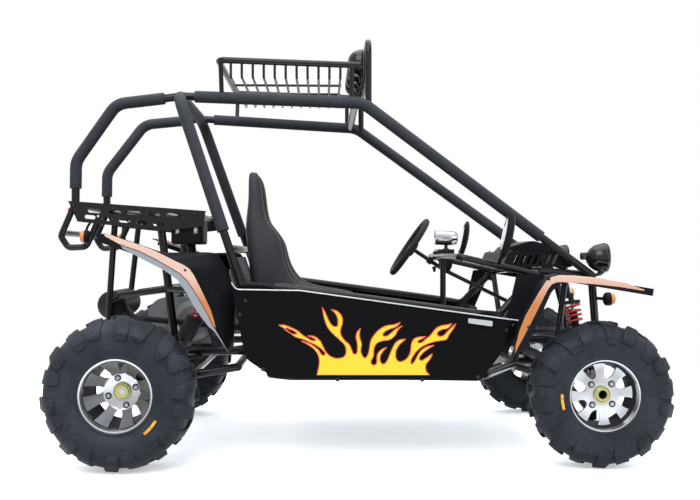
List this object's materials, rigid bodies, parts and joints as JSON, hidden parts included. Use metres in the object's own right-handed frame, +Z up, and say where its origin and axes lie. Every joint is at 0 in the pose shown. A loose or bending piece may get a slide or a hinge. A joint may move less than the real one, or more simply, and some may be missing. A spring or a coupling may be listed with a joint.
{
  "type": "two-seat off-road buggy",
  "caption": "Two-seat off-road buggy with padded roll cage, roof basket and lamps, flame side panels, cut fenders, lugged tyres and working steering.",
  "frame": {"origin": "on the floor, below the middle of the overall length and width", "axes": "+X forward to the nose, +Y to the driver's left, +Z up"},
  "size_m": [2.3455, 1.434, 1.6335],
  "materials": {
    "tyre_rubber": "satin black tyre rubber",
    "wheel_alloy": "machined cast alloy",
    "seat_leather": "black leatherette",
    "engine_metal": "cast alloy, dull",
    "fender_plastic": "gloss black with an orange edge stripe",
    "moulded_plastic": "fine grained black moulding",
    "panel_gloss": "gloss black paint with a flame pattern",
    "spring_red": "red enamelled spring steel",
    "lamp_body": "black lamp bowl with a clear lens",
    "amber_lens": "moulded amber lens",
    "chrome_trim": "polished chrome",
    "grip_rubber": "soft black grip foam",
    "cage_foam": "charcoal foam sleeves",
    "floor_plate": "embossed tread sheet",
    "zinc_steel": "zinc plated steel",
    "frame_black": "gloss black powder coat"
  },
  "bodies": {
    "chassis": {"air_box": "moulded_plastic", "cage_crossbar": "frame_black", "cage_pads": "cage_foam", "dash_bar": "frame_black", "engine": "engine_metal", "engine_cradle": "frame_black", "floor_frame": "frame_black", "floor_pan": "floor_plate", "front_arms_left": "frame_black", "front_arms_right": "frame_black", "front_fender_left": "fender_plastic", "front_fender_right": "fender_plastic", "front_post_panel_left": "moulded_plastic", "front_post_panel_right": "moulded_plastic", "front_shocks": "spring_red", "headlamps": "lamp_body", "light_guard": "frame_black", "main_hoop": "frame_black", "mirrors": "moulded_plastic", "muffler": "engine_metal", "nose_cover": "moulded_plastic", "nose_frame": "frame_black", "pedals": "frame_black", "rear_bumper": "frame_black", "rear_carrier": "frame_black", "rear_fender_left": "fender_plastic", "rear_fender_right": "fender_plastic", "rear_shocks": "spring_red", "rear_stay_left": "frame_black", "rear_stay_right": "frame_black", "roof_lamps": "lamp_body", "roof_rack": "frame_black", "roof_rail_left": "frame_black", "roof_rail_right": "frame_black", "seat_frames": "frame_black", "seat_left": "seat_leather", "seat_right": "seat_leather", "side_frame_left": "frame_black", "side_frame_right": "frame_black", "side_panel_left": "panel_gloss", "side_panel_right": "panel_gloss", "speedometer": "chrome_trim", "steering_gear": "frame_black", "swing_arm": "frame_black", "turn_signals": "amber_lens"},
    "steering_wheel": {"steering_wheel": "grip_rubber"},
    "lower_shaft": {"lower_shaft": "zinc_steel"},
    "tie_rods": {"tie_rods": "zinc_steel"},
    "knuckle_left": {"knuckle_left": "zinc_steel"},
    "knuckle_right": {"knuckle_right": "zinc_steel"},
    "front_wheel_left": {"front_rim_left": "wheel_alloy", "front_tyre_left": "tyre_rubber"},
    "front_wheel_right": {"front_rim_right": "wheel_alloy", "front_tyre_right": "tyre_rubber"},
    "rear_wheels": {"rear_axle": "engine_metal", "rear_rim_left": "wheel_alloy", "rear_rim_right": "wheel_alloy", "rear_tyre_left": "tyre_rubber", "rear_tyre_right": "tyre_rubber"}
  },
  "joints": [
    {"name": "steer_left", "type": "hinge", "parent": "chassis", "child": "knuckle_left", "pos_m": [0.905, 0.5, 0.268], "axis": [0, 0, 1], "range_deg": [-25, 25]},
    {"name": "steer_right", "type": "hinge", "parent": "chassis", "child": "knuckle_right", "pos_m": [0.905, -0.5, 0.268], "axis": [0, 0, 1], "range_deg": [-25, 25]},
    {"name": "steering_wheel_turn", "type": "hinge", "parent": "chassis", "child": "steering_wheel", "pos_m": [0.283, 0.235, 0.813], "axis": [-0.832, 0, 0.5548], "range_deg": [-180, 180]},
    {"name": "lower_shaft_turn", "type": "hinge", "parent": "chassis", "child": "lower_shaft", "pos_m": [0.801, 0.235, 0.53], "axis": [-0.8962, 0, 0.4436], "range_deg": [-180, 180]},
    {"name": "rack_slide", "type": "slide", "parent": "chassis", "child": "tie_rods", "axis": [0, 1, 0], "range_m": [-0.0385, 0.0385]},
    {"name": "front_left_spin", "type": "hinge", "parent": "knuckle_left", "child": "front_wheel_left", "pos_m": [0.905, 0.597, 0.268], "axis": [0, 1, 0], "continuous": true},
    {"name": "front_right_spin", "type": "hinge", "parent": "knuckle_right", "child": "front_wheel_right", "pos_m": [0.905, -0.597, 0.268], "axis": [0, 1, 0], "continuous": true},
    {"name": "rear_spin", "type": "hinge", "parent": "chassis", "child": "rear_wheels", "pos_m": [-0.845, 0, 0.279], "axis": [0, 1, 0], "continuous": true}
  ],
  "couplings": [
    {"joint": "steer_right", "follows": "steer_left", "ratio": 1},
    {"joint": "steering_wheel_turn", "follows": "steer_left", "ratio": 7.2},
    {"joint": "lower_shaft_turn", "follows": "steer_left", "ratio": 7.2},
    {"joint": "rack_slide", "follows": "steer_left", "m_per_rad": -0.0872}
  ]
}
